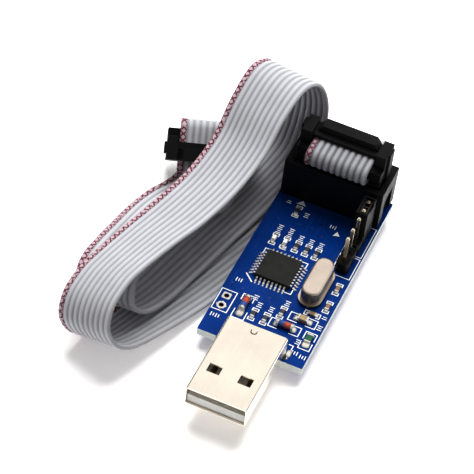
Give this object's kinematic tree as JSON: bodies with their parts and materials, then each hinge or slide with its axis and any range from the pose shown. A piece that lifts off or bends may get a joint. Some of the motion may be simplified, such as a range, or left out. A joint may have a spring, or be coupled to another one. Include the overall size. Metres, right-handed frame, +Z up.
{
  "type": "usb microcontroller programmer",
  "caption": "USB stick programmer for small microcontrollers: a bare circuit board with a plug-in ribbon cable folded beside it, ending in a socket plug.",
  "frame": {"origin": "centre of the USB plug's mouth", "axes": "+X across the board to its crystal side, +Y from the USB plug towards the box header, +Z up out of the board's component side"},
  "size_m": [0.0465, 0.0756, 0.0262],
  "materials": {
    "board_blue": "glossy solder mask",
    "solder": "bright tin",
    "shell_nickel": "bright nickel plate",
    "white_plastic": "smooth moulded",
    "gold_contact": "thin gold plate",
    "chip_black": "fine-grained moulding compound",
    "tin_lead": "tinned",
    "can_nickel": "satin nickel",
    "glass_seal": "dull",
    "diode_glass": "glossy glass with painted bands",
    "resistor_black": "overglaze",
    "ceramic_tan": "fired ceramic",
    "filter_tan": "fired ceramic",
    "lamp_lens": "milky resin",
    "fuse_green": "varnished laminate",
    "header_black": "moulded, low sheen",
    "pin_gold": "thin gold plate",
    "pin_tin": "tinned",
    "ribbon_grey": "soft PVC, one marked edge wire"
  },
  "bodies": {
    "board": {"circuit_board": "board_blue", "solder_joints": "solder", "usb_shell": "shell_nickel", "usb_insulator": "white_plastic", "usb_contacts": "gold_contact", "controller_body": "chip_black", "controller_leads": "tin_lead", "crystal_can": "can_nickel", "crystal_base": "glass_seal", "crystal_leads": "tin_lead", "diode_front": "diode_glass", "diode_side": "diode_glass", "diode_caps": "solder", "chip_resistors": "resistor_black", "chip_capacitors": "ceramic_tan", "filter_capacitor": "filter_tan", "chip_terminals": "solder", "lamp_left": "lamp_lens", "lamp_right": "lamp_lens", "fuse_chip": "fuse_green", "box_header": "header_black", "box_header_pins": "pin_gold", "jumper_strip_short": "header_black", "jumper_strip_long": "header_black", "jumper_pins_short": "pin_tin", "jumper_pins_long": "pin_tin", "cable_tail": "ribbon_grey", "cable_run": "ribbon_grey", "far_plug_body": "header_black", "far_plug_cover": "header_black", "far_plug_contacts": "gold_contact", "far_plug_strain_relief": "header_black", "far_plug_ribbon": "ribbon_grey"},
    "cable_plug": {"plug_body": "header_black", "plug_cover": "header_black", "plug_contacts": "gold_contact", "plug_strain_relief": "header_black", "plug_ribbon": "ribbon_grey"},
    "jumper_shunt": {"shunt_housing": "header_black", "shunt_clip": "pin_tin"}
  },
  "joints": [
    {"name": "cable_plug_pull", "type": "slide", "parent": "board", "child": "cable_plug", "axis": [0, 0, 1], "range_m": [0, 0.008]},
    {"name": "jumper_shunt_pull", "type": "slide", "parent": "board", "child": "jumper_shunt", "axis": [0, 0, 1], "range_m": [0, 0.007]}
  ]
}
